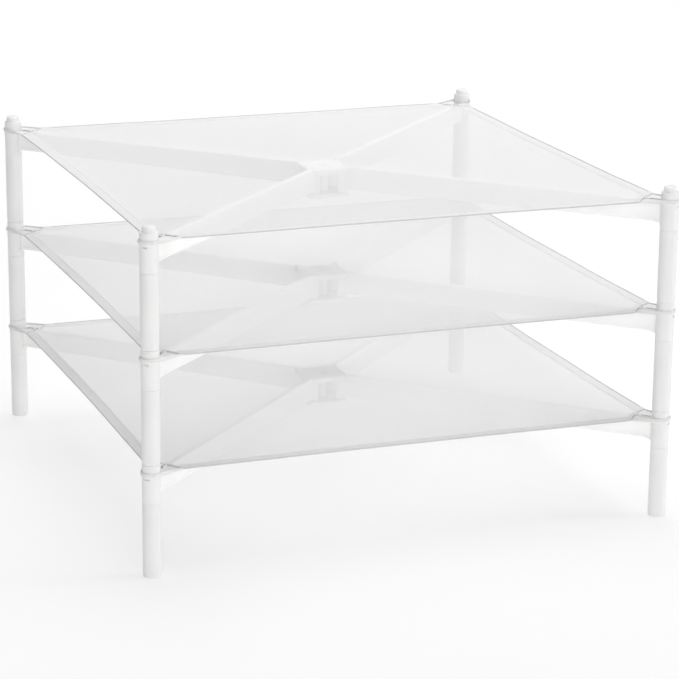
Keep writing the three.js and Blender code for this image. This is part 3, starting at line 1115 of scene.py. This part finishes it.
def build_rack():
    """All the pieces of the three tiers."""
    leg, arm = leg_mesh(), arm_mesh()
    cover, base, screw, hinge_pin = cover_mesh(), base_mesh(), screw_mesh(), pin_mesh()
    parts = sheet_parts()
    for tier in TIERS:
        hub = f"{tier}_hub"
        level = Matrix.Translation((0, 0, sheet_height(tier)))
        placed(f"{tier}_cover_plate", cover, plastic, hub, f"{tier}_hub_cover", level)
        placed(f"{tier}_base_plate", base, plastic, hub, f"{tier}_hub_base", level)
        placed(f"{tier}_cover_screw", screw, steel, hub, f"{tier}_hub_screw", level)
        for corner in CORNERS:
            pin, post = pin_place(tier, corner), post_place(tier, corner)
            body = f"{tier}_{corner}"
            heading = math.atan2(post.y - pin.y, post.x - pin.x)
            turn = Matrix.Rotation(heading, 4, "Z")
            at_pin = Matrix.Translation(pin)
            foot = Vector((post.x, post.y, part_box(f"{tier}_leg_{corner}")[0][2]))
            placed(f"{body}_arm_moulding", arm, plastic, body, f"{tier}_arm_{corner}",
                   at_pin @ turn)
            placed(f"{body}_leg_tube", leg, tube_plastic, body, f"{tier}_leg_{corner}",
                   Matrix.Translation(foot) @ turn)
            placed(f"{body}_hinge_pin", hinge_pin, steel, hub, f"{tier}_pivot_pin_{corner}",
                   at_pin)
        sheet_pieces(tier, parts)


# ---------------------------------------------------------------- stage, light and camera

def build_stage():
    """A wide, pale floor, lifted towards an even tone by a little light of its own."""
    corners = [(x * FLOOR_HALF, y * FLOOR_HALF) for x, y in ((-1, -1), (1, -1), (1, 1), (-1, 1))]
    floor = mesh_object("floor", *lofted([[(x, y, z) for x, y in corners] for z in (0, -FLOOR_THICKNESS)]))
    nodes = Nodes("pale_floor")
    cloud = nodes.noise(1.5, 2.0)
    nodes.link(nodes.ramp(cloud, [(0.3, (0.395, 0.395, 0.395)), (0.7, (0.405, 0.405, 0.405))]),
               nodes.shader.inputs["Base Color"])
    nodes.shader.inputs["Roughness"].default_value = 0.9
    nodes.shader.inputs["Specular IOR Level"].default_value = 0.1
    nodes.shader.inputs["Emission Color"].default_value = (1, 1, 1, 1)
    nodes.shader.inputs["Emission Strength"].default_value = 0.56
    floor.data.materials.append(nodes.material)


def soft_light(name, place, size, power, target=(0, 0, 0.2)):
    """A round area lamp that points at its target."""
    light = bpy.data.lights.new(name, "AREA")
    light.shape = "DISK"
    light.size = size
    light.energy = power
    lamp = bpy.data.objects.new(name, light)
    lamp.location = place
    lamp.rotation_euler = (Vector(target) - Vector(place)).to_track_quat("-Z", "Y").to_euler()
    bpy.context.scene.collection.objects.link(lamp)


def build_light():
    """A pale studio: an even surround and four large, soft lamps."""
    world = bpy.data.worlds.new("studio")
    world.use_nodes = True
    world.node_tree.nodes["Background"].inputs["Color"].default_value = (1, 1, 1, 1)
    world.node_tree.nodes["Background"].inputs["Strength"].default_value = 0.26
    bpy.context.scene.world = world
    soft_light("top", (0.3, 0.3, 3.2), 3.0, 69)
    soft_light("front", (-0.9, -4.1, 1.0), 2.4, 63, (0, 0, 0.15))
    soft_light("right", (3.6, -1.2, 1.3), 1.6, 40, (0, 0, 0.15))
    soft_light("backdrop", (1.3, 4.2, 3.2), 4.0, 110, (1.6, 4.6, 0))
    bpy.context.scene.view_settings.view_transform = "Standard"


def build_camera():
    """The camera stands in front and to the left, a little above, with a long lens."""
    azimuth, elevation, roll = math.radians(-20.27), math.radians(16.09), math.radians(0.55)
    aim, distance = Vector((0.017, -0.018, 0.170)), 3.441
    back = Vector((math.sin(azimuth) * math.cos(elevation), -math.cos(azimuth) * math.cos(elevation),
                   math.sin(elevation)))
    data = bpy.data.cameras.new("camera")
    data.lens = 141.5
    data.sensor_width = 36
    camera = bpy.data.objects.new("camera", data)
    camera.location = aim + back * distance
    turn = (-back).to_track_quat("-Z", "Y").to_matrix() @ Matrix.Rotation(roll, 3, "Z")
    camera.rotation_euler = turn.to_euler()
    bpy.context.scene.collection.objects.link(camera)
    bpy.context.scene.camera = camera


build_camera()
build_rack()
build_stage()
build_light()
